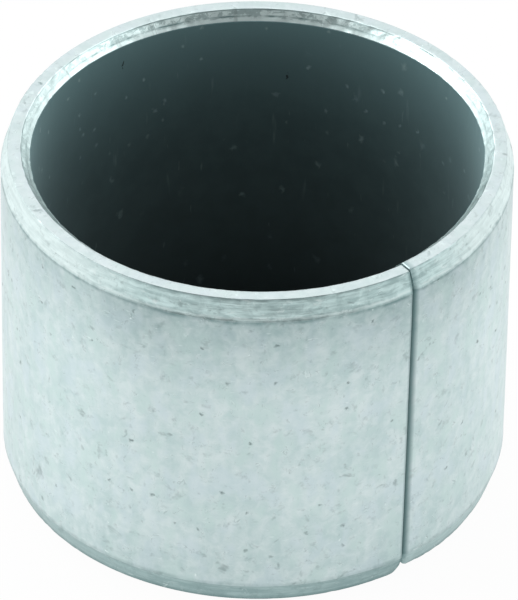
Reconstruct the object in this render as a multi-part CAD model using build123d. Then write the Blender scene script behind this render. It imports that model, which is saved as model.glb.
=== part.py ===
from build123d import *
import math
import os

# A wrapped dry plain bearing: a sleeve rolled from a bonded strip and closed by one straight butt split.
# From the housing inwards its wall is a flash of tin, the steel back, a sintered bronze interlayer
# and a thin dark sliding layer, which is the bore. Millimetres, +Z along the bore, split facing -Y,
# and the origin at the middle of the lower end face.

# Driving dimensions
bore_diameter = 30.0
wall = 2.0
length = 25.0

sliding_thickness = 0.03    # polymer and filler on top of the bronze
bronze_thickness = 0.25     # sintered and impregnated
plating_thickness = 0.005   # on every metal face left bare

outer_chamfer_length = 1.5  # along the axis, the lead-in for pressing it in
outer_chamfer_angle = 17.0  # degrees from the axis
inner_chamfer = 0.65        # at 45 degrees, the shaft's lead-in

split_gap_bore = 0.10       # the butt nearly closes at the bore
split_gap_outside = 0.28    # and stands open outside, where rolling stretched the strip
split_edge_radius = 0.22    # rounding along the split's two outside edges
strip_corner_radius = 0.5   # rounding of the strip's four corners, seen from outside

cut_margin = 1.0            # how far a cutting shape runs past what it cuts

# What follows from them
bore_radius = bore_diameter / 2
outside_radius = bore_radius + wall
sliding_back_radius = bore_radius + sliding_thickness
bronze_back_radius = sliding_back_radius + bronze_thickness
outer_chamfer_depth = outer_chamfer_length * math.tan(math.radians(outer_chamfer_angle))


def half_gap(radius):
    """Half the split's width at a radius: its two faces are flat and open outwards."""
    opening = (split_gap_outside - split_gap_bore) / wall
    return (split_gap_bore + opening * (radius - bore_radius)) / 2


def split_wedge(inset):
    """The open butt seen along the bore, each face moved back by inset."""
    inner = bore_radius - cut_margin
    outer = outside_radius + cut_margin
    narrow = half_gap(inner) + inset
    wide = half_gap(outer) + inset
    corners = [(-narrow, -inner), (narrow, -inner), (wide, -outer), (-wide, -outer)]
    return make_face(Polyline(*corners, close=True))


def rolled_section(inner_radius, inset):
    """The strip rolled into a C, seen along the bore, with its outside split edges rounded."""
    ring = Circle(outside_radius - inset) - Circle(inner_radius) - split_wedge(inset)
    outside_edges = ring.vertices().sort_by(Axis.Y)[:2]
    return fillet(outside_edges, split_edge_radius - inset)


def turned_envelope(inset):
    """The sleeve's outline turned about the bore, with both chamfers at both ends."""
    half_profile = make_face(
        Polyline(
            (bore_radius, inner_chamfer),
            (bore_radius + inner_chamfer, 0),
            (outside_radius - outer_chamfer_depth, 0),
            (outside_radius, outer_chamfer_length),
            (outside_radius, length - outer_chamfer_length),
            (outside_radius - outer_chamfer_depth, length),
            (bore_radius + inner_chamfer, length),
            (bore_radius, length - inner_chamfer),
            close=True,
        )
    )
    if inset:
        half_profile = offset(half_profile, -inset, kind=Kind.INTERSECTION)
    return revolve(Plane.XZ * half_profile, Axis.Z)


def corner_cut(inset):
    """What rounds the strip's corners where the split meets an end face, for the lower end."""
    centre_across = half_gap(bore_radius) + strip_corner_radius
    reach = strip_corner_radius + cut_margin
    middle = strip_corner_radius - reach / 2
    block = Pos(0, middle) * Rectangle(2 * centre_across, reach)
    for side in (-1, 1):
        block -= Pos(side * centre_across, strip_corner_radius) * Circle(strip_corner_radius - inset)
    return extrude(Plane.XZ * block, outside_radius + cut_margin)


def sleeve(inner_radius, inset=0.0):
    """The whole wall from inner_radius out, with every outside face moved in by inset."""
    blank = extrude(rolled_section(inner_radius, inset), length)
    body = blank & turned_envelope(inset)
    lower = corner_cut(inset)
    upper = mirror(lower, Plane.XY.offset(length / 2))
    return body - lower - upper


def write(node, shape, colour):
    solid = shape.solids()[0]
    solid.label = node
    solid.color = Color(*colour)
    export_step(solid, f"parts/{node}.step")
    print(f"{node}: volume {solid.volume:.2f} mm3, {len(shape.solids())} solid")


def main():
    os.makedirs("parts", exist_ok=True)
    wall_body = sleeve(bore_radius)
    plated_body = sleeve(sliding_back_radius)
    metal = sleeve(sliding_back_radius, plating_thickness)
    bronze_core = Cylinder(bronze_back_radius, length, align=(Align.CENTER, Align.CENTER, Align.MIN))
    sliding_core = Cylinder(sliding_back_radius, length, align=(Align.CENTER, Align.CENTER, Align.MIN))

    write("sliding_layer", wall_body & sliding_core, (0.12, 0.15, 0.16))
    write("bronze_interlayer", metal & bronze_core, (0.70, 0.47, 0.27))
    write("steel_backing", metal - bronze_core, (0.60, 0.62, 0.64))
    write("tin_plating", plated_body - metal, (0.82, 0.84, 0.85))


main()
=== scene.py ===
import math
from types import SimpleNamespace

import bpy
from mathutils import Matrix, Vector


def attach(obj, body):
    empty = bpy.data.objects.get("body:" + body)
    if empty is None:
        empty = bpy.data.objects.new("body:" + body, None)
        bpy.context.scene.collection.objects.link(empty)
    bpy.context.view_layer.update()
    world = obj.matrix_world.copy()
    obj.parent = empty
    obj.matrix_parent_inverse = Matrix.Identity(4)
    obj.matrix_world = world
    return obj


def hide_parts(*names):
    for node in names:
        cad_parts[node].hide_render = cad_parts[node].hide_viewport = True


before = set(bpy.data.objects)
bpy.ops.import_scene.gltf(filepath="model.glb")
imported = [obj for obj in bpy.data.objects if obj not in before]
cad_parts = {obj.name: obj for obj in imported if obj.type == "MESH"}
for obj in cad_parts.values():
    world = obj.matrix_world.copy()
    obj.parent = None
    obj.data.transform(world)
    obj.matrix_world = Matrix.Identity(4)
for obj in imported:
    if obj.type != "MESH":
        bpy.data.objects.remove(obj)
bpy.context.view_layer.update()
mm = 0.001
touching = 0.001        # mm, how near to a face a corner counts as lying on it


def cornersOf(node):
    # (radius, height) of every corner of a CAD node, in mm
    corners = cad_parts[node].data.vertices
    return [(math.hypot(v.co.x, v.co.y) / mm, v.co.z / mm) for v in corners]


def measureSleeve():
    plating = cornersOf("tin_plating")
    polymer = cornersOf("sliding_layer")
    outside = max(r for r, z in plating)
    bore = min(r for r, z in polymer)
    onFace = [r for r, z in plating if z < touching]
    onOutside = [z for r, z in plating if r > outside - touching]
    return {
        "outside": outside,
        "length": max(z for r, z in plating),
        "bore": bore,
        "slidingBack": max(r for r, z in polymer),
        "bronzeBack": max(r for r, z in cornersOf("bronze_interlayer")),
        "tin": outside - max(r for r, z in cornersOf("steel_backing")),
        "leadDepth": outside - max(onFace),
        "leadLength": min(onOutside),
        "boreChamfer": min(onFace) - bore,
    }


size = measureSleeve()
print("sleeve measured", {k: round(v, 3) for k, v in size.items()})


class Nodes:
    # short calls for building a shader tree or a geometry tree
    def __init__(self, tree):
        self.tree = tree

    def make(self, kind, *values, **settings):
        made = self.tree.nodes.new(kind)
        for name, value in settings.items():
            setattr(made, name, value)
        for socket, value in zip(made.inputs, values):
            self.feed(socket, value)
        return made

    def feed(self, socket, value):
        if isinstance(value, Num):
            value = value.socket
        if isinstance(value, bpy.types.NodeSocket):
            self.tree.links.new(value, socket)
        elif value is not None:
            socket.default_value = value

    def math(self, operation, *values):
        return Num(self, self.make("ShaderNodeMath", *values, operation=operation).outputs[0])

    def lowest(self, a, b):
        return self.math("MINIMUM", a, b)

    def highest(self, first, *others):
        for other in others:
            first = self.math("MAXIMUM", first, other)
        return first

    def root(self, a):
        return self.math("SQRT", self.highest(a, 0.0))

    def unsigned(self, a):
        return self.math("ABSOLUTE", a)

    def ramp(self, value, low, high, toLow=0.0, toHigh=1.0, smooth=False):
        kind = "SMOOTHSTEP" if smooth else "LINEAR"
        made = self.make("ShaderNodeMapRange", value, low, high, toLow, toHigh, interpolation_type=kind)
        return Num(self, made.outputs[0])

    def soft(self, value, low, high):
        return self.ramp(value, low, high, smooth=True)

    def line(self, offset, width, depth=1.0, core=0.0):
        # full depth where the offset is below core, nothing past width
        return self.ramp(self.unsigned(offset), core, width, depth, 0.0)

    def spot(self, x, y, z):
        return self.make("ShaderNodeCombineXYZ", x, y, z).outputs[0]

    def split(self, vector):
        return [Num(self, s) for s in self.make("ShaderNodeSeparateXYZ", vector).outputs[:3]]

    def noise(self, vector, scale=1.0, detail=2.0, rough=0.5, warp=0.0):
        made = self.make("ShaderNodeTexNoise")
        self.feed(made.inputs["Vector"], vector)
        for name, value in (("Scale", scale), ("Detail", detail), ("Roughness", rough), ("Distortion", warp)):
            made.inputs[name].default_value = value
        return Num(self, made.outputs[0])

    def patches(self, low, high, vector, **noise):
        # soft patches where a noise rises from low to high
        return self.soft(self.noise(vector, **noise), low, high)

    def cells(self, vector, scale, flat=False):
        # distance to the nearest point and that point's random grey
        made = self.make("ShaderNodeTexVoronoi", voronoi_dimensions="2D" if flat else "3D")
        self.feed(made.inputs["Vector"], vector)
        made.inputs["Scale"].default_value = scale
        grey = self.split(made.outputs["Color"])[0]
        return Num(self, made.outputs["Distance"]), grey


class Num:
    # a node's number, so that formulas read as formulas
    def __init__(self, nodes, socket):
        self.nodes, self.socket = nodes, socket

    def __add__(self, other):
        return self.nodes.math("ADD", self, other)

    def __radd__(self, other):
        return self.nodes.math("ADD", other, self)

    def __sub__(self, other):
        return self.nodes.math("SUBTRACT", self, other)

    def __rsub__(self, other):
        return self.nodes.math("SUBTRACT", other, self)

    def __mul__(self, other):
        return self.nodes.math("MULTIPLY", self, other)

    def __rmul__(self, other):
        return self.nodes.math("MULTIPLY", other, self)

    def __truediv__(self, other):
        return self.nodes.math("DIVIDE", self, other)

    def __rtruediv__(self, other):
        return self.nodes.math("DIVIDE", other, self)


leadStart = size["outside"] - size["leadDepth"]     # radius where the outer chamfer starts
boreStart = size["bore"] + size["boreChamfer"]      # radius where the inner chamfer ends
halfRound = math.pi * size["outside"]               # mm round from the split to the back


def zonesOf(n, radius, fromEnd):
    # soft masks, 1 on each surface of the wall; fromEnd is the distance from the nearer end
    def past(value, edge, before, after):
        return n.soft(value, edge - before, edge + after)

    outer = past(radius, leadStart, 0.06, 0.01)
    inner = 1.0 - past(radius, boreStart, 0.05, 0.04)
    lead = outer * (1.0 - past(fromEnd, size["leadLength"], 0.06, 0.03))
    inBore = past(fromEnd, size["boreChamfer"], 0.02, 0.08)
    return {
        "outer": outer,
        "lead": lead,
        "side": outer - lead,
        "face": (1.0 - outer) * (1.0 - inner) * (1.0 - n.soft(fromEnd, 0.05, 0.25)),
        "inner": inner * (1.0 - inBore),
        "boreWall": inner * inBore,
    }


strip = dict(
    columns=500,           # steps round the sleeve
    fineColumns=8,         # of them, the ones that close up towards each side of the split
    boreChamferRows=8,     # rows across each surface
    faceRows=6,
    leadRows=15,
    sideRows=18,
    gapAtBore=0.09,        # the split, in mm, as all the rest
    gapOutside=0.12,
    crispEdge=0.10,        # rounding of the split's two outside edges
    roundEdge=0.55,
    offSquare=0.30,        # how far the round edge's lower corner is cut back, over
    offSquareOver=6.0,     # this much of the end
    lowerCorner=0.85,      # rounding of the strip's corners
    upperCorner=0.08,
    waver=0.045,           # how far the split's edges waver
    waverOver=0.9,         # and how far from the split they do
    endStep=0.24,          # how far the round edge's end is sprung in behind the other,
    endStepAtSplit=0.6,    # the share of it at the split itself,
    endStepFull=8.0,       # how far from the split it is full,
    endStepFrom=9.0,       # and where it comes back out
    endStepTo=24.0,
    skew=0.27,             # how far the split leans over the sleeve's length
    faceEdge=0.24,         # how softly the end face turns into the outer chamfer
    boreEdge=0.06,         # and into the inner one
    relief=1.0,            # share of the relief below; 0 is a perfectly smooth sleeve
    leadSunk=0.012,        # outer chamfer: sunk all over,
    leadStreaks=0.022,     # with streaks
    leadLumps=0.034,       # and lumps
    sideSunk=0.004,        # side: sunk all over,
    sideTaper=0.020,       # and a little more towards the chamfers,
    sideTaperOver=3.2,     # over this length
    innerSunk=0.010,       # inner chamfer
    innerLumps=0.034,
    faceSunk=0.003,        # end face
    grain=0.012,           # fine unevenness of both chamfers
    nicks=0.05,            # nicks in the edge between end face and outer chamfer
    weld=0.0004,           # points nearer than this are joined
    sharpFrom=38.0,        # edges turn sharp from this angle, in degrees
)
endRows = strip["boreChamferRows"] + strip["faceRows"] + strip["leadRows"]
lastRow = 2 * endRows + strip["sideRows"]


def reliefOf(n, around, radius, height):
    # how far the surface sinks below the exact shape, in mm: radially outside, radially inside, axially
    fromEnd = n.lowest(height, size["length"] - height)
    zone = zonesOf(n, radius, fromEnd)
    solid = n.spot(around, height, radius)
    streak = n.noise(n.spot(around * 0.22, height * 4.6, radius * 4.6), rough=0.55)
    lump = n.patches(0.42, 0.68, solid, scale=1.15, rough=0.55, warp=0.4)
    fine = n.noise(solid, scale=3.1, rough=0.6)
    nick = n.patches(0.60, 0.72, solid, scale=0.9, detail=3.0, rough=0.6)
    nick = nick * n.line(radius - leadStart, 0.12) * n.ramp(fromEnd, 0.1, 0.5, 1.0, 0.0) * strip["nicks"]

    # the edge between chamfer and side stands up as a broken lip
    lip = n.line(fromEnd - size["leadLength"] - 0.03, 0.13)
    lip = lip * n.patches(0.28, 0.55, n.spot(around * 0.35, 3.0, 0.0), rough=0.6)
    taper = n.ramp(fromEnd, size["leadLength"], size["leadLength"] + strip["sideTaperOver"], 1.0, 0.0)
    chamfer = strip["leadSunk"] + strip["leadStreaks"] * streak + strip["leadLumps"] * lump
    side = strip["sideSunk"] + strip["sideTaper"] * taper * taper + 0.5 * strip["grain"] * fine
    outside = zone["lead"] * (chamfer + strip["grain"] * fine) + zone["side"] * side
    outside = outside * (1.0 - 0.85 * lip) + nick
    inside = strip["innerSunk"] + strip["innerLumps"] * lump + strip["grain"] * fine
    inside = zone["inner"] * inside + zone["boreWall"] * 0.0015 * fine
    axial = zone["face"] * (strip["faceSunk"] + 0.006 * streak) + nick + zone["inner"] * 0.02 * lump
    return outside, inside, axial


def storeOn(n, geometry, name, value):
    made = n.make("GeometryNodeStoreNamedAttribute", data_type="FLOAT", domain="POINT")
    n.feed(made.inputs["Geometry"], geometry)
    made.inputs["Name"].default_value = name
    n.feed(made.inputs["Value"], value)
    return made.outputs[0]


def storedOn(n, name):
    return Num(n, n.make("GeometryNodeInputNamedAttribute", name, data_type="FLOAT").outputs[0])


def numberedStrip(n, g):
    # a straight run of columns with a ring of rows round it; the formulas below give it its shape
    index = Num(n, n.make("GeometryNodeInputIndex").outputs[0])
    rail = n.make("GeometryNodeResampleCurve")
    n.feed(rail.inputs["Curve"], n.make("GeometryNodeCurvePrimitiveLine", (0, 0, 0), (10, 0, 0)).outputs[0])
    n.feed(rail.inputs["Count"], g["Columns"] + 1)
    section = n.make("GeometryNodeCurvePrimitiveCircle", g["Inner Rows"] + lastRow).outputs[0]
    swept = n.make("GeometryNodeCurveToMesh")
    n.feed(swept.inputs["Curve"], storeOn(n, rail.outputs[0], "column", index))
    n.feed(swept.inputs["Profile Curve"], storeOn(n, section, "row", index))
    swept.inputs["Fill Caps"].default_value = True
    return swept.outputs[0]


def wallSection(n, g):
    # each row's radius and height: up the lower end, the outside, the upper end and down the inside
    row = storedOn(n, "row")
    up = n.highest(n.lowest(row, lastRow - row), 0.0) / endRows
    chamferPart = strip["boreChamferRows"] / endRows
    facePart = chamferPart + strip["faceRows"] / endRows
    radius = size["bore"] + n.ramp(up, 0.0, chamferPart, 0.0, size["boreChamfer"], smooth=True)
    radius = radius + n.ramp(up, chamferPart, facePart, 0.0, leadStart - boreStart, smooth=True)
    radius = radius + n.ramp(up, facePart, 1.0, 0.0, size["leadDepth"], smooth=True)
    outerRadius = n.lowest(g["Outer Radius"], size["outside"] - g["Inset"])
    radius = n.lowest(n.highest(radius, g["Inner Radius"]), outerRadius)
    slope = size["leadLength"] / size["leadDepth"]
    boreEnd = boreStart - radius + math.sqrt(2) * g["Inset"]
    leadEnd = (radius - leadStart) * slope + math.hypot(1, slope) * g["Inset"]
    end = n.math("SMOOTH_MAX", boreEnd, g["Inset"], strip["boreEdge"])
    end = n.math("SMOOTH_MAX", end, leadEnd, strip["faceEdge"])
    rise = n.ramp(row, endRows, endRows + strip["sideRows"], smooth=True)
    fall = n.ramp(row, lastRow, g["Inner Rows"] + lastRow)
    return radius, end + (rise - fall) * (size["length"] - 2.0 * end)


def columnPlaces(n, g):
    # each column's distance from the split, closing up towards it, and its side, 1 on +X and -1 on -X
    column = storedOn(n, "column")
    near = n.lowest(column, g["Columns"] - column)
    fine = g["Fine Columns"]
    step = halfRound / (fine * (g["Columns"] - fine))
    ends = n.lowest(near, fine)
    away = step * (ends * ends + 2.0 * fine * (near - ends))
    middle = g["Columns"] * 0.5
    return away, n.ramp(column, middle - 0.75, middle - 0.25, 1.0, -1.0)


def trimEnds(n, g, radius, height, away, side):
    # round the split's outside edges and the strip's corners, and cut one end out of square
    def rounding(corner):
        own = corner - g["Inset"]
        short = n.highest(own - away, 0.0)
        return own - n.root(own * own - short * short)

    ownEdge = n.ramp(side, -1.0, 1.0, g["Crisp Edge"], g["Round Edge"])
    radius = n.lowest(radius, size["outside"] - g["Inset"] - rounding(ownEdge))
    cutBack = n.ramp(away, 0.0, g["Off Square Over"], 1.0, 0.0)
    cutBack = cutBack * cutBack * g["Off Square"] * n.ramp(side, 0.0, 1.0)
    bottom = rounding(g["Lower Corner"]) + g["Inset"] + cutBack
    top = size["length"] - (rounding(g["Upper Corner"]) + g["Inset"])
    return radius, n.lowest(n.highest(height, bottom), top)


def rollRound(n, g, radius, height, away, side, around):
    # where each point of the strip ends up, with its relief, the split's lean and the sprung end
    outside, inside, axial = reliefOf(n, around, radius, height)
    outerHalf = n.soft(radius, boreStart, leadStart)
    sunk = g["Relief"] * (inside * (1.0 - outerHalf) - outside * outerHalf)
    halfLength = size["length"] * 0.5
    towardsMiddle = n.ramp(height, halfLength - 1.0, halfLength + 1.0, 1.0, -1.0)
    finalHeight = height + g["Relief"] * towardsMiddle * axial
    opening = (g["Gap Outside"] - g["Gap At Bore"]) / (size["outside"] - size["bore"])
    halfGap = (g["Gap At Bore"] + opening * (radius - size["bore"])) * 0.5 + g["Inset"]
    ownWaver = n.spot(side * 7.0, height * 0.45, 0.0)      # far enough apart for each side to have its own
    waver = n.noise(ownWaver, detail=3.0, rough=0.6) - 0.35
    waver = g["Relief"] * strip["waver"] * n.highest(waver, 0.0)
    waver = waver * n.ramp(away, 0.0, strip["waverOver"], 1.0, 0.0)
    first = (halfGap + waver) / radius
    angle = first + away / halfRound * (math.pi - first)
    sprung = g["End Step"] * n.ramp(side, 0.0, 1.0)
    sprung = sprung * n.ramp(away, strip["endStepFrom"], strip["endStepTo"], 1.0, 0.0, smooth=True)
    sprung = sprung * n.ramp(away, 0.0, strip["endStepFull"], strip["endStepAtSplit"], 1.0)
    turned = side * angle + (height / size["length"] - 0.5) * g["Skew"] / size["outside"]
    finalRadius = (radius + sunk - sprung) * mm
    return n.spot(n.math("SINE", turned) * finalRadius,
                  n.math("COSINE", turned) * finalRadius * -1.0,
                  finalHeight * mm)


def openedAtBore(n, g, geometry):
    # tin has no skin of its own where the sliding layer is bonded on
    inFace = n.make("GeometryNodeFieldOnDomain", storedOn(n, "wallRadius"), data_type="FLOAT", domain="FACE")
    atBore = n.make("FunctionNodeCompare", data_type="FLOAT", operation="LESS_THAN")
    n.feed(atBore.inputs[0], Num(n, inFace.outputs[0]))
    n.feed(atBore.inputs[1], g["Inner Radius"] + touching / 2)
    both = n.make("FunctionNodeBooleanMath", atBore.outputs[0], g["Open Inside"], operation="AND")
    return n.make("GeometryNodeDeleteGeometry", geometry, both.outputs[0], domain="FACE").outputs[0]


def rolledStripTree():
    tree = bpy.data.node_groups.new("rolledStrip", "GeometryNodeTree")
    inputs = {
        "Inner Radius": ("NodeSocketFloat", size["bore"]),
        "Outer Radius": ("NodeSocketFloat", size["outside"]),
        "Inset": ("NodeSocketFloat", 0.0),
        "Open Inside": ("NodeSocketBool", False),
        "Inner Rows": ("NodeSocketInt", 2),
        "Columns": ("NodeSocketInt", strip["columns"]),
        "Fine Columns": ("NodeSocketInt", strip["fineColumns"]),
        "Gap At Bore": ("NodeSocketFloat", strip["gapAtBore"]),
        "Gap Outside": ("NodeSocketFloat", strip["gapOutside"]),
        "Crisp Edge": ("NodeSocketFloat", strip["crispEdge"]),
        "Round Edge": ("NodeSocketFloat", strip["roundEdge"]),
        "Off Square": ("NodeSocketFloat", strip["offSquare"]),
        "Off Square Over": ("NodeSocketFloat", strip["offSquareOver"]),
        "Lower Corner": ("NodeSocketFloat", strip["lowerCorner"]),
        "Upper Corner": ("NodeSocketFloat", strip["upperCorner"]),
        "End Step": ("NodeSocketFloat", strip["endStep"]),
        "Skew": ("NodeSocketFloat", strip["skew"]),
        "Relief": ("NodeSocketFloat", strip["relief"]),
        "Material": ("NodeSocketMaterial", None),
    }
    for name, (kind, value) in inputs.items():
        socket = tree.interface.new_socket(name=name, in_out="INPUT", socket_type=kind)
        if value is not None:
            socket.default_value = value
    tree.interface.new_socket(name="Geometry", in_out="OUTPUT", socket_type="NodeSocketGeometry")
    n = Nodes(tree)
    given = n.make("NodeGroupInput").outputs
    g = {name: Num(n, given[name]) for name in inputs}
    mesh = numberedStrip(n, g)
    radius, height = wallSection(n, g)
    away, side = columnPlaces(n, g)
    radius, height = trimEnds(n, g, radius, height, away, side)
    around = side * (halfRound - away)

    # what the materials read
    for name, value in (("wallRadius", radius), ("wallHeight", height), ("fromBack", around)):
        mesh = storeOn(n, mesh, name, value)
    placed = n.make("GeometryNodeSetPosition")
    n.feed(placed.inputs["Geometry"], mesh)
    n.feed(placed.inputs["Position"], rollRound(n, g, radius, height, away, side, around))
    welded = n.make("GeometryNodeMergeByDistance", openedAtBore(n, g, placed.outputs[0]))
    welded.inputs["Distance"].default_value = strip["weld"] * mm
    real = n.make("GeometryNodeRealizeInstances", welded.outputs[0])
    done = n.make("GeometryNodeSetMaterial", real.outputs[0])
    n.feed(done.inputs["Material"], g["Material"])
    n.feed(n.make("NodeGroupOutput").inputs[0], done.outputs[0])
    return tree


def makeLayer(name, tree, values, skin=None):
    carrier = bpy.data.objects.new(name + "Maker", bpy.data.meshes.new(name + "Maker"))
    bpy.context.collection.objects.link(carrier)
    nodes = carrier.modifiers.new("strip", "NODES")
    nodes.node_group = tree
    sockets = {s.name: s.identifier for s in tree.interface.items_tree if s.in_out == "INPUT"}
    for key, value in values.items():
        nodes[sockets[key]] = value
    if skin:
        shell = carrier.modifiers.new("skin", "SOLIDIFY")
        shell.thickness = skin * mm
        shell.offset = -1.0
        shell.use_even_offset = True
    graph = bpy.context.evaluated_depsgraph_get()
    mesh = bpy.data.meshes.new_from_object(carrier.evaluated_get(graph), depsgraph=graph)
    bpy.data.objects.remove(carrier)
    mesh.name = name
    mesh.set_sharp_from_angle(angle=math.radians(strip["sharpFrom"]))
    piece = bpy.data.objects.new(name, mesh)
    bpy.context.collection.objects.link(piece)
    return piece


def newMaterial(name):
    material = bpy.data.materials.new(name)
    material.use_nodes = True
    material.node_tree.nodes.clear()
    n = Nodes(material.node_tree)
    shader = n.make("ShaderNodeBsdfPrincipled")
    n.feed(n.make("ShaderNodeOutputMaterial").inputs["Surface"], shader.outputs[0])
    return material, n, shader


def placesOn(n):
    # mm round from the back, radius, height
    def stored(name):
        return Num(n, n.make("ShaderNodeAttribute", attribute_name=name).outputs["Fac"])

    return stored("fromBack"), stored("wallRadius"), stored("wallHeight")


def blend(n, share, low, high):
    made = n.make("ShaderNodeMix", data_type="RGBA")
    n.feed(made.inputs["Factor"], share)
    for socket, value in ((made.inputs[6], low), (made.inputs[7], high)):
        n.feed(socket, (*value, 1.0) if isinstance(value, tuple) else value)
    return made.outputs[2]


def bumped(n, shader, height, strength, distance):
    made = n.make("ShaderNodeBump")
    made.inputs["Strength"].default_value = strength
    made.inputs["Distance"].default_value = distance * mm
    n.feed(made.inputs["Height"], height)
    n.feed(shader.inputs["Normal"], made.outputs[0])


tin = dict(
    light=(0.765, 0.885, 0.89),      # the mottled side
    dark=(0.605, 0.76, 0.76),
    cool=(0.695, 0.825, 0.87),
    green=(0.65, 0.82, 0.80),
    endFace=(0.53, 0.585, 0.60),
    worn=(0.755, 0.97, 0.96),        # rubbed by the rolls
    chip=(0.86, 0.985, 0.98),        # bright metal in nicks, and the colour of the painted highlights
    scoresAndShade=(0.12, 0.225, 0.23),      # the dark of scores, and the colour of painted shade in lines, below the chamfer and at the split
    pit=(0.14, 0.20, 0.20),
    roughness=0.38,
    bump=0.016,                      # mm
    # from here on shares of the colour above, and places in mm round from the back, plus on +X
    chamferShade=0.31,                       # painted shade below the outer chamfer, strongest round the side facing the camera
    chamferShadeClouds=0.16,
    chamferShadeReach=7.5,                   # how far it reaches down the side
    chamferShadeStarts=(-33.0, -21.0),       # it thins out after this stretch,
    chamferShadeEnds=(42.0, 52.0),           # comes back over this one,
    chamferShadeBehind=0.25,                 # and this much of it is left between them
    grazingHighlightShare=0.85,                     # painted highlights on the upper chamfer at the left and right edges of the view:
    grazingHighlights=((-23.0, 6.0, 12.0), (40.0, 7.0, 12.0)),  # middle, and where they start and end to fade
    scores=0.41,                     # tool marks on the chamfers
    scoresAtSplit=0.15,
    lowerChamferShade=(0.57, 0.40),        # the lower chamfer's painted shade where the sleeve stands, from -X round to +X
    lines=0.70,                      # the lines at the chamfer's two edges
    lineBreaks=0.90,                 # how much of a line its gaps take away
    lip=0.50,                        # painted highlight on the lip, and bright flakes, on the outer chamfer
    flakes=0.60,
    foot=0.55,                       # the shade where the sleeve stands
    coined=0.90,                     # the inner chamfer's rubbed metal,
    batteredAndShaded=0.52,                   # its dark patches, partly painted shade
    shadedStretch=(7.0, 8.0, 15.0),  # middle of the stretch painted darkest, on the far side from the camera, and where it starts to ease and is half
    pits=0.85,
    dents=0.45,
    blots=0.26,
    shadedArcs=0.32,
    ticks=0.14,
    chips=0.70,
    glints=0.35,
    litArcs=0.40,
    mouth=0.82,                      # the shade in the mouth of the split
    mouthReach=0.56,                 # and how far it reaches on the rounded side
)


def mottledSide(n, at):
    solid = n.spot(at.around, at.height, at.radius)
    cloud = n.noise(solid, scale=0.30)
    squashed = n.spot(at.around, at.height * 0.9, at.radius)
    at.mottle = n.noise(squashed, scale=1.25, detail=3.0, rough=0.62, warp=0.4)
    upright = n.noise(n.spot(at.around * 1.1, at.height * 0.12, at.radius), rough=0.6)
    at.grain = n.noise(solid, scale=5.0, rough=0.6)
    tone = n.ramp(cloud * 0.22 + at.mottle * 0.48 + upright * 0.23 + at.grain * 0.07, 0.40, 0.60)
    colour = blend(n, tone, tin["dark"], tin["light"])
    hue = n.noise(n.spot(at.around * 0.6, at.height * 0.35, at.radius))
    colour = blend(n, n.soft(hue, 0.50, 0.66) * 0.5, colour, tin["cool"])
    return blend(n, n.soft(hue, 0.48, 0.34) * 0.6, colour, tin["green"])


def shadeBelowChamfer(n, at, colour):
    # painted shade below the outer chamfer, fading down the side, weaker towards the lower end and strongest
    # round the side facing the camera
    clouds = n.patches(0.35, 0.6, n.spot(at.around * 0.12, 2.0, 0.0))
    chamferShade = n.ramp(at.fromEnd, size["leadLength"], size["leadLength"] + tin["chamferShadeReach"], 1.0, 0.0)
    chamferShade = n.math("POWER", chamferShade, 1.6) * at.zone["side"] * (tin["chamferShade"] + tin["chamferShadeClouds"] * clouds)
    chamferShade = chamferShade * n.ramp(at.height, 5.0, 15.0, 0.45, 1.0) * n.ramp(at.mottle, 0.3, 0.7, 1.2, 0.8)
    chamferShade = chamferShade * n.highest(n.ramp(at.around, *tin["chamferShadeStarts"], 1.0, tin["chamferShadeBehind"]),
                            n.ramp(at.around, *tin["chamferShadeEnds"], tin["chamferShadeBehind"], 1.0))
    return blend(n, chamferShade, colour, tin["scoresAndShade"])


def toolMarks(n, at, colour):
    # scores round the outer chamfer, with painted highlights at the left and right edges of the view, a
    # painted highlight on the lip, bright flakes, and painted shade on the lower chamfer
    at.streak = n.noise(n.spot(at.around * 0.32, at.height * 3.6, at.radius * 3.6), rough=0.6, warp=0.3)
    lumpy = n.spot(at.around * 0.8, at.height * 1.3, at.radius * 1.3)
    at.lump = n.noise(lumpy, scale=1.25, detail=3.0, rough=0.62, warp=0.7)
    worn = n.ramp(at.streak * 0.55 + at.lump * 0.45, 0.42, 0.60)
    colour = blend(n, at.zone["lead"] * 0.82, colour, tin["worn"])
    colour = blend(n, at.zone["face"] * 0.5, colour, tin["endFace"])
    # painted highlights on the upper chamfer at the left and right edges of the view
    left, right = (n.line(at.around - middle, gone, tin["grazingHighlightShare"], core=start)
                   for middle, start, gone in tin["grazingHighlights"])
    at.grazingHighlights = n.highest(left, right)
    colour = blend(n, at.grazingHighlights * at.zone["lead"] * (1.0 - at.lower), colour, tin["chip"])
    scored = (tin["scores"] - tin["scores"] * worn) * (1.0 - 0.7 * at.grazingHighlights)
    scored = scored + n.line(at.fromSplit, 7.0, tin["scoresAtSplit"], core=0.5)
    # painted shade: on the lower chamfer most of the scores give way to a darkening where the sleeve stands
    scored = scored + at.lower * (n.ramp(at.around, -40.0, 40.0, *tin["lowerChamferShade"]) - 0.65 * scored)
    colour = blend(n, at.zone["lead"] * scored, colour, tin["scoresAndShade"])
    # painted highlight: a bright band along the chamfer just above its lower edge, as on a lit ridge
    lip = n.line(at.fromEnd - size["leadLength"] + 0.16 + 0.5 * (at.lump - 0.5), 0.15, core=0.03)
    lip = lip * n.patches(0.34, 0.52, n.spot(at.around * 0.5, 9.0, 0.0), detail=3.0, rough=0.7)
    lip = lip * at.zone["outer"] * (1.0 - 0.85 * at.lower)
    flaky = n.spot(at.around, at.height * 2.4, at.radius)
    flake = n.patches(0.60, 0.70, flaky, detail=3.0, rough=0.6, warp=0.5)
    flake = flake * at.zone["lead"] * (1.0 - 0.8 * at.lower)
    return blend(n, n.highest(lip * tin["lip"], flake * tin["flakes"]), colour, tin["chip"])


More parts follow.
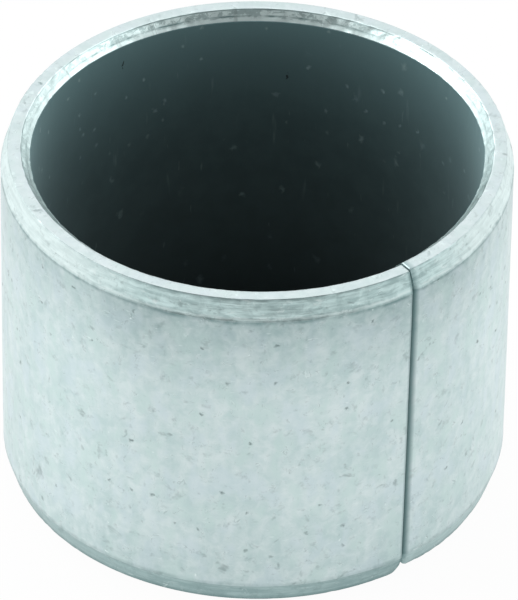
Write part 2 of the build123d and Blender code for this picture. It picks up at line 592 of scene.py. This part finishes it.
def chamferLines(n, at, colour):
    # broken dark lines at both edges of the outer chamfer, the one at the side a painted shade under the lip,
    # and the painted shade at the foot
    broken = n.patches(0.34, 0.62, n.spot(at.around * 0.45, 5.0, 0.0), detail=3.0, rough=0.7)
    faceLine = n.line(at.radius - leadStart + 0.02 - 0.03 * at.wander, 0.065)
    faceLine = faceLine * (1.0 - at.zone["inner"]) * n.ramp(at.fromEnd, 0.3, 0.6, 1.0, 0.0)
    # painted shade: the dark line just below the chamfer, under the lip
    sideLine = n.line(at.fromEnd - size["leadLength"] - 0.06 - 0.45 * at.wander, 0.24) * at.zone["outer"]
    at.lines = n.highest(faceLine * (1.0 - 0.6 * at.grazingHighlights), sideLine) * (1.0 - 0.5 * at.lower)
    at.lines = at.lines * (1.0 - tin["lineBreaks"] + tin["lineBreaks"] * broken)
    foot = n.ramp(at.height, 0.10, 0.50, tin["foot"], 0.0) * at.zone["outer"]
    return blend(n, n.highest(at.lines * tin["lines"], foot), colour, tin["scoresAndShade"])


def coinedEdge(n, at, colour):
    # the inner chamfer: battered metal, its dark painted strongest on the far side from the camera as shade,
    # a painted shadow line where steel meets bronze, and a smooth ridge at the bore
    colour = blend(n, at.zone["inner"] * tin["coined"], colour, blend(n, 0.55, tin["worn"], tin["chip"]))
    lumpy = n.spot(at.around * 0.85, at.height * 1.5, at.radius * 1.5)
    lump = n.noise(lumpy, scale=1.2, detail=4.0, rough=0.7, warp=1.0)
    ridge = n.ramp(at.radius, size["bronzeBack"] - 0.14, size["bronzeBack"] - 0.06, 1.0, 0.0)
    # painted shadow: a dark line beside the ridge, where steel meets bronze
    shadowByRidge = n.line(at.radius - size["bronzeBack"] - 0.12 * at.wander, 0.08)
    shadowByRidge = shadowByRidge * n.patches(0.36, 0.58, n.spot(at.around * 0.40, 1.0, 7.0), detail=3.0, rough=0.7)
    rim = n.line(at.radius - boreStart + 0.04 - 0.10 * at.wander, 0.06)
    middle, start, half = tin["shadedStretch"]
    # painted shade: the inner chamfer's dark is strongest on the far side from the camera and eases to half
    # round the sides
    batteredAndShaded = at.zone["inner"] * n.ramp(n.unsigned(at.around - middle), start, half, 1.0, 0.50)
    patch = (tin["batteredAndShaded"] - tin["batteredAndShaded"] * n.soft(lump, 0.42, 0.58)) * (1.0 - 0.9 * ridge)
    crack = n.highest(n.line(lump - 0.47, 0.022, 0.70), shadowByRidge, rim * 0.85) * (1.0 - ridge)
    return blend(n, batteredAndShaded * n.highest(patch, crack), colour, tin["scoresAndShade"])


def specks(n, at, colour):
    # pits, dents with painted shade, blots, ticks, short arcs painted as shaded and lit pairs, and scratches
    # painted bright as glints, dark and bright
    def marks(low, high, layer, **noise):
        return n.patches(low, high, n.spot(at.around, at.height - at.radius, layer), **noise)

    solid = n.spot(at.around, at.height, at.radius)
    bent = at.around + 0.7 * n.noise(solid, scale=2.2, rough=0.6)
    far, grey = n.cells(n.spot(bent, at.height - at.radius + 0.7 * at.mottle, 0.0), 0.62, flat=True)
    at.pit = n.soft(grey, 0.87, 0.95) * n.line(far, 0.11) * n.ramp(at.height, 2.0, 9.0, 0.6, 1.0)
    # painted shade in dents
    at.dent = marks(0.63, 0.76, 9.0, scale=0.75, detail=3.0, rough=0.65, warp=0.4)
    blot = marks(0.57, 0.74, 4.0, scale=1.05, detail=3.0, rough=0.68, warp=0.3)
    here = marks(0.55, 0.66, 19.0, scale=1.15)
    curl = n.spot(at.around, at.height - at.radius, 14.0)
    curl = n.noise(curl, scale=0.95, detail=3.0, rough=0.6, warp=0.7) - 0.5
    # painted shade and painted light: each arc is a shaded line with a lit one beside it
    shadedArc = here * n.line(curl + 0.011, 0.013)
    litArc = here * n.line(curl - 0.011, 0.013)
    at.arcs = litArc - shadedArc
    tick = n.patches(0.66, 0.76, n.spot(at.around * 4.2, at.height * 1.3, at.radius))
    # painted highlights: short scratches painted bright as glints
    glint = n.patches(0.66, 0.76, n.spot(at.around * 1.1, at.height * 5.5, at.radius))
    chip = n.soft(grey, 0.08, 0.06) * n.line(far, 0.06, core=0.02)
    pits = at.pit * (tin["pits"] - 0.5 * at.zone["lead"])
    dark = n.highest(pits, at.dent * tin["dents"], blot * tin["blots"])
    dark = n.highest(dark, shadedArc * tin["shadedArcs"], tick * tin["ticks"])
    bright = n.highest(chip * tin["chips"], glint * tin["glints"], litArc * tin["litArcs"])
    return blend(n, bright, blend(n, dark, colour, tin["pit"]), tin["chip"])


def splitShade(n, at, colour):
    # the shade in the mouth of the split, which reaches further on the rounded side, and the sheared ends
    full = tin["mouth"]
    mouth = n.lowest(n.ramp(at.fromSplit, 0.02, 0.12, 0.60, full),
                     n.ramp(at.fromSplit, 0.22, tin["mouthReach"], full, 0.0))
    mouth = mouth * n.ramp(at.fromSplit, -0.02, 0.0) * (0.55 + 0.45 * at.zone["side"])
    at.mouth = n.highest(mouth, at.zone["outer"] * n.line(at.fromSplit, 0.22, 0.55, core=0.04))
    return blend(n, n.highest(at.mouth, n.line(at.fromSplit, 0.012, 0.15)), colour, tin["scoresAndShade"])


def tinMaterial():
    material, n, shader = newMaterial("flashTin")
    around, radius, height = placesOn(n)
    fromEnd = n.lowest(height, size["length"] - height)
    at = SimpleNamespace(
        around=around,
        radius=radius,
        height=height,
        fromEnd=fromEnd,
        fromSplit=n.math("SIGN", around) * halfRound - around,     # below nought on -X
        zone=zonesOf(n, radius, fromEnd),
        lower=n.ramp(height, size["leadLength"], size["leadLength"] + 1.0, 1.0, 0.0),
        wander=n.noise(n.spot(around * 0.55, 0.0, 0.0), detail=4.0, rough=0.7) - 0.5,
    )
    colour = mottledSide(n, at)
    for coat in (shadeBelowChamfer, toolMarks, chamferLines, coinedEdge, specks, splitShade):
        colour = coat(n, at, colour)
    n.feed(shader.inputs["Base Color"], colour)
    shader.inputs["Metallic"].default_value = 1.0
    rough = tin["roughness"] + 0.10 * (at.mottle - 0.5) + at.zone["lead"] * 0.05
    rough = rough + at.pit * 0.15 + at.mouth * 0.2
    n.feed(shader.inputs["Roughness"], rough)
    relief = at.grain * 0.15 + at.mottle + at.zone["lead"] * (at.streak * 2.0 + at.lump * 1.2 - 1.6)
    relief = relief - at.pit * 0.8 - at.dent * 0.6 - at.lines * 0.8 + at.arcs * 0.25
    bumped(n, shader, relief, 0.8, tin["bump"])
    return material


slide = dict(
    base=(0.035, 0.065, 0.068),
    pale=(0.053, 0.093, 0.097),      # rubbed clouds
    paintedLightNearTop=(0.180, 0.310, 0.325),   # painted light towards the upper end of the bore
    paintedLightFrom=13.0,                # mm below it
    fleck=(0.34, 0.46, 0.47),
    flecks=0.60,
    specks=0.90,                     # small ones near the upper end
    drags=0.20,
    scuffs=0.15,
    # pit is also the colour of the painted shade deep in the bore
    pit=(0.004, 0.006, 0.006),
    sheen=(0.70, 0.92, 0.95),
    sheenWeight=0.40,
    specular=0.32,
    roughness=0.42,
    bump=0.006,                      # mm
)


def slidingMaterial():
    material, n, shader = newMaterial("darkSlidingLayer")
    around, radius, height = placesOn(n)
    solid = n.spot(around, height, radius)
    cloud = n.patches(0.35, 0.65, solid, scale=0.4, detail=3.0, rough=0.6)
    rub = n.noise(n.spot(around * 1.4, height * 0.13, 0.0), detail=3.0, rough=0.6)
    colour = blend(n, cloud * 0.5 + rub * 0.4, slide["base"], slide["pale"])
    # painted light: the bore's wall paler towards its upper end, where more light falls in
    topLight = n.ramp(height, size["length"] - slide["paintedLightFrom"], size["length"] - 0.4)
    colour = blend(n, topLight * topLight * 0.9, colour, slide["paintedLightNearTop"])
    # painted shade: darker towards the bottom of the bore
    colour = blend(n, n.ramp(height, 2.0, 13.0, 0.7, 0.0), colour, slide["pit"])

    # flecks, bent out of round
    bentRound = n.noise(solid, scale=1.7, rough=0.6) * 0.9
    bentUp = n.noise(n.spot(height, around, radius), scale=1.7, rough=0.6) * 0.9
    far, grey = n.cells(n.spot(around + bentRound, height * 0.75 + bentUp, 0.0), 0.30, flat=True)
    fleck = n.soft(grey, 0.50, 0.58) * n.line(far, 0.085) * n.ramp(grey, 0.50, 1.0, 0.25, 1.0)
    fleck = fleck * n.ramp(height, 4.0, 20.0, 0.30, 1.0)
    near, pick = n.cells(n.spot(around - bentUp * 0.7, height + bentRound * 0.7, 5.0), 0.62, flat=True)
    speck = n.soft(pick, 0.70, 0.76) * n.line(near, 0.12) * n.ramp(height, 14.0, 22.0)
    fleck = n.highest(fleck * slide["flecks"], speck * slide["specks"])
    pit = n.soft(grey, 0.12, 0.10) * n.line(far, 0.04, core=0.02)

    # what a shaft leaves: upright drags and scuffs
    drag = n.patches(0.66, 0.80, n.spot(around * 1.3, height * 0.22, 8.0)) * n.ramp(height, 5.0, 15.0)
    scuff = n.patches(0.70, 0.78, n.spot(around * 2.6, height * 0.5, 0.0))
    pale = n.highest(fleck, drag * slide["drags"], scuff * slide["scuffs"])
    colour = blend(n, pit, blend(n, pale, colour, slide["fleck"]), slide["pit"])
    n.feed(shader.inputs["Base Color"], colour)
    n.feed(shader.inputs["Roughness"], slide["roughness"] + 0.12 * rub)
    shader.inputs["Specular IOR Level"].default_value = slide["specular"]
    shader.inputs["Sheen Weight"].default_value = slide["sheenWeight"]
    shader.inputs["Sheen Roughness"].default_value = 0.45
    shader.inputs["Sheen Tint"].default_value = (*slide["sheen"], 1.0)
    grain = n.noise(solid, scale=7.0, detail=3.0, rough=0.6)
    bumped(n, shader, rub * 0.4 + grain * 0.4 + fleck - pit, 0.4, slide["bump"])
    return material


bronze = dict(
    grain=(0.56, 0.36, 0.19),
    bright=(0.72, 0.50, 0.30),
    pore=(0.06, 0.06, 0.055),
    grains=9.0,                      # to the mm
    roughness=0.38,
    bump=0.03,                       # mm
)


def bronzeMaterial():
    material, n, shader = newMaterial("sinteredBronze")
    around, radius, height = placesOn(n)
    far, grey = n.cells(n.spot(around, height, radius), bronze["grains"])
    colour = blend(n, grey, bronze["grain"], bronze["bright"])
    pore = n.soft(far, 0.42, 0.6)
    n.feed(shader.inputs["Base Color"], blend(n, pore, colour, bronze["pore"]))
    shader.inputs["Metallic"].default_value = 1.0
    n.feed(shader.inputs["Roughness"], bronze["roughness"] + 0.4 * pore)
    bumped(n, shader, far * -1.0, 0.6, bronze["bump"])
    return material


steel = dict(
    base=(0.46, 0.47, 0.48),
    dark=(0.36, 0.37, 0.38),
    roughness=0.30,
    bump=0.008,                      # mm
)


def steelMaterial():
    material, n, shader = newMaterial("rolledSteel")
    around, radius, height = placesOn(n)
    rolled = n.noise(n.spot(around * 0.3, height * 8.0, radius * 3.0), detail=4.0, rough=0.6)
    n.feed(shader.inputs["Base Color"], blend(n, rolled, steel["dark"], steel["base"]))
    shader.inputs["Metallic"].default_value = 1.0
    n.feed(shader.inputs["Roughness"], steel["roughness"] + 0.22 * rolled)
    bumped(n, shader, rolled, 0.4, steel["bump"])
    return material


def addLayer(tree, name, node, material, inner, outer, inset=0.0, innerRows=2, skin=None):
    values = {
        "Inner Radius": inner,
        "Outer Radius": outer,
        "Inset": inset,
        "Open Inside": skin is not None,
        "Inner Rows": innerRows,
        "Material": material,
    }
    piece = makeLayer(name, tree, values, skin)
    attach(piece, "root")
    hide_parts(node)
    print("made", name, len(piece.data.polygons), "faces")


def makeSleeve():
    tree = rolledStripTree()
    outside, bore, tinned = size["outside"], size["bore"], size["tin"]
    bronzeBack, slidingBack = size["bronzeBack"], size["slidingBack"]
    addLayer(tree, "tinPlating", "tin_plating", tinMaterial(),
             slidingBack, outside, innerRows=1, skin=tinned)
    addLayer(tree, "steelBacking", "steel_backing", steelMaterial(),
             bronzeBack, outside, inset=tinned)
    addLayer(tree, "bronzeInterlayer", "bronze_interlayer", bronzeMaterial(),
             slidingBack, bronzeBack, inset=tinned)
    addLayer(tree, "slidingLayer", "sliding_layer", slidingMaterial(),
             bore, slidingBack, innerRows=30)


view = dict(
    azimuth=-36.40,         # degrees round from looking along +Y
    elevation=37.67,
    distance=0.4972,        # metres, as aside and above
    roll=0.89,
    lens=446.56,            # for the sensor along the long side
    sensor=36.0,
    aside=0.000178,         # the sleeve's middle lies this far left of the view's middle
    above=0.000214,         # and this far above it
)


def towards(azimuth, elevation):
    # unit vector from the sleeve to where a viewer at these angles stands
    turn, rise = math.radians(azimuth), math.radians(elevation)
    return Vector((math.sin(turn) * math.cos(rise), -math.cos(turn) * math.cos(rise), math.sin(rise)))


studio = dict(
    floorSize=1.6,
    floorDrop=0.01,         # mm, so that it never cuts the sleeve's lower end
    floorColour=(0.86, 0.86, 0.86),
    floorShow=0.96,         # how much of the floor's look is plain white to the camera
    floorGlossy=0.98,       # and to the metal,
    nearGlossy=0.86,        # which sees it darker in front of the sleeve,
    nearTurn=20.0,          # a little to the right of the camera, in degrees,
    nearFrom=3.0,           # from this far in front of its middle, in mm,
    nearTo=4.0,             # to this far past its outside
    bright=0.95,            # the light all round
    dim=0.29,               # and overhead in front, where the camera stands
    dimRise=46.0,           # degrees up
    dimFrom=0.36,           # cosines of the angles over which it dims
    dimTo=0.86,
    lampAside=0.55,         # the two panels stand this far to the sides,
    lampBehind=0.30,        # behind
    lampUp=0.70,            # and above
    lampSize=(1.0, 0.6),
    leftPower=5.2,          # watts
    rightPower=2.6,
)


def makeFloor():
    half = studio["floorSize"] / 2
    low = -studio["floorDrop"] * mm
    mesh = bpy.data.meshes.new("floor")
    corners = [(-half, -half, low), (half, -half, low), (half, half, low), (-half, half, low)]
    mesh.from_pydata(corners, [], [(0, 1, 2, 3)])
    floor = bpy.data.objects.new("floor", mesh)
    bpy.context.collection.objects.link(floor)
    material = bpy.data.materials.new("paleFloor")
    material.use_nodes = True
    material.node_tree.nodes.clear()
    n = Nodes(material.node_tree)
    plain = n.make("ShaderNodeBsdfDiffuse", (*studio["floorColour"], 1.0)).outputs[0]
    path = n.make("ShaderNodeLightPath").outputs
    toCamera, toMetal = Num(n, path["Is Camera Ray"]), Num(n, path["Is Glossy Ray"])
    x, y = n.split(n.make("ShaderNodeTexCoord").outputs["Object"])[:2]
    turn = math.radians(view["azimuth"] + studio["nearTurn"])
    ahead = x * (math.sin(turn) / mm) - y * (math.cos(turn) / mm)
    # painted shadow: the floor's glow, as the metal sees it, is darker in front of the sleeve
    level = n.ramp(ahead, studio["nearFrom"], size["outside"] + studio["nearTo"], 1.0, studio["nearGlossy"])
    white = n.make("ShaderNodeEmission", (1.0, 1.0, 1.0, 1.0), 1.0 - toMetal * (1.0 - level)).outputs[0]
    pastSleeve = n.soft(n.root(x * x + y * y) / mm, size["bore"], size["outside"])
    seen = toCamera * studio["floorShow"] + toMetal * (studio["floorGlossy"] * pastSleeve)
    mixed = n.make("ShaderNodeMixShader", seen, plain, white)
    n.feed(n.make("ShaderNodeOutputMaterial").inputs["Surface"], mixed.outputs[0])
    mesh.materials.append(material)


def makeWorld():
    world = bpy.data.worlds.new("studio")
    bpy.context.scene.world = world
    world.use_nodes = True
    world.node_tree.nodes.clear()
    n = Nodes(world.node_tree)
    sky = n.make("ShaderNodeTexCoord").outputs["Generated"]
    dimmest = towards(view["azimuth"], studio["dimRise"])
    dot = n.make("ShaderNodeVectorMath", sky, dimmest, operation="DOT_PRODUCT")
    dim = n.soft(Num(n, dot.outputs["Value"]), studio["dimFrom"], studio["dimTo"])
    level = studio["bright"] - (studio["bright"] - studio["dim"]) * dim
    path = n.make("ShaderNodeLightPath").outputs
    seen = n.highest(Num(n, path["Is Camera Ray"]), Num(n, path["Is Transmission Ray"]))
    light = n.make("ShaderNodeBackground")
    light.inputs["Color"].default_value = (1.0, 1.0, 1.0, 1.0)
    n.feed(light.inputs["Strength"], n.highest(level, seen))
    n.feed(n.make("ShaderNodeOutputWorld").inputs["Surface"], light.outputs[0])


def makeCamera():
    back = towards(view["azimuth"], view["elevation"])
    turn, roll = math.radians(view["azimuth"]), math.radians(view["roll"])
    right = Vector((math.cos(turn), math.sin(turn), 0.0))
    up = back.cross(right)
    tiltedRight = math.cos(roll) * right + math.sin(roll) * up
    tiltedUp = math.cos(roll) * up - math.sin(roll) * right
    camera = bpy.data.cameras.new("camera")
    camera.lens = view["lens"]
    camera.sensor_width = view["sensor"]
    camera.clip_start, camera.clip_end = 0.01, 20.0
    holder = bpy.data.objects.new("camera", camera)
    middle = Vector((0, 0, size["length"] * mm / 2))
    target = middle + view["aside"] * tiltedRight - view["above"] * tiltedUp
    holder.location = target + back * view["distance"]
    holder.rotation_euler = Matrix([[tiltedRight[i], tiltedUp[i], back[i]] for i in range(3)]).to_euler()
    bpy.context.collection.objects.link(holder)
    bpy.context.scene.camera = holder
    return right, back


def makeLamp(name, place, power):
    lamp = bpy.data.lights.new(name, "AREA")
    lamp.shape = "RECTANGLE"
    lamp.size, lamp.size_y = studio["lampSize"]
    lamp.energy = power
    holder = bpy.data.objects.new(name, lamp)
    holder.location = place
    aim = Vector((0, 0, size["length"] * mm / 2)) - Vector(place)
    holder.rotation_euler = aim.to_track_quat("-Z", "Y").to_euler()
    bpy.context.collection.objects.link(holder)


makeSleeve()
makeFloor()
makeWorld()
right, back = makeCamera()
behind = -Vector((back.x, back.y, 0)).normalized() * studio["lampBehind"]
above = Vector((0, 0, studio["lampUp"]))
makeLamp("leftPanel", -right * studio["lampAside"] + behind + above, studio["leftPower"])
makeLamp("rightPanel", right * studio["lampAside"] + behind + above, studio["rightPower"])
print("floor, light and camera placed")
bpy.context.scene.view_settings.view_transform = "Standard"
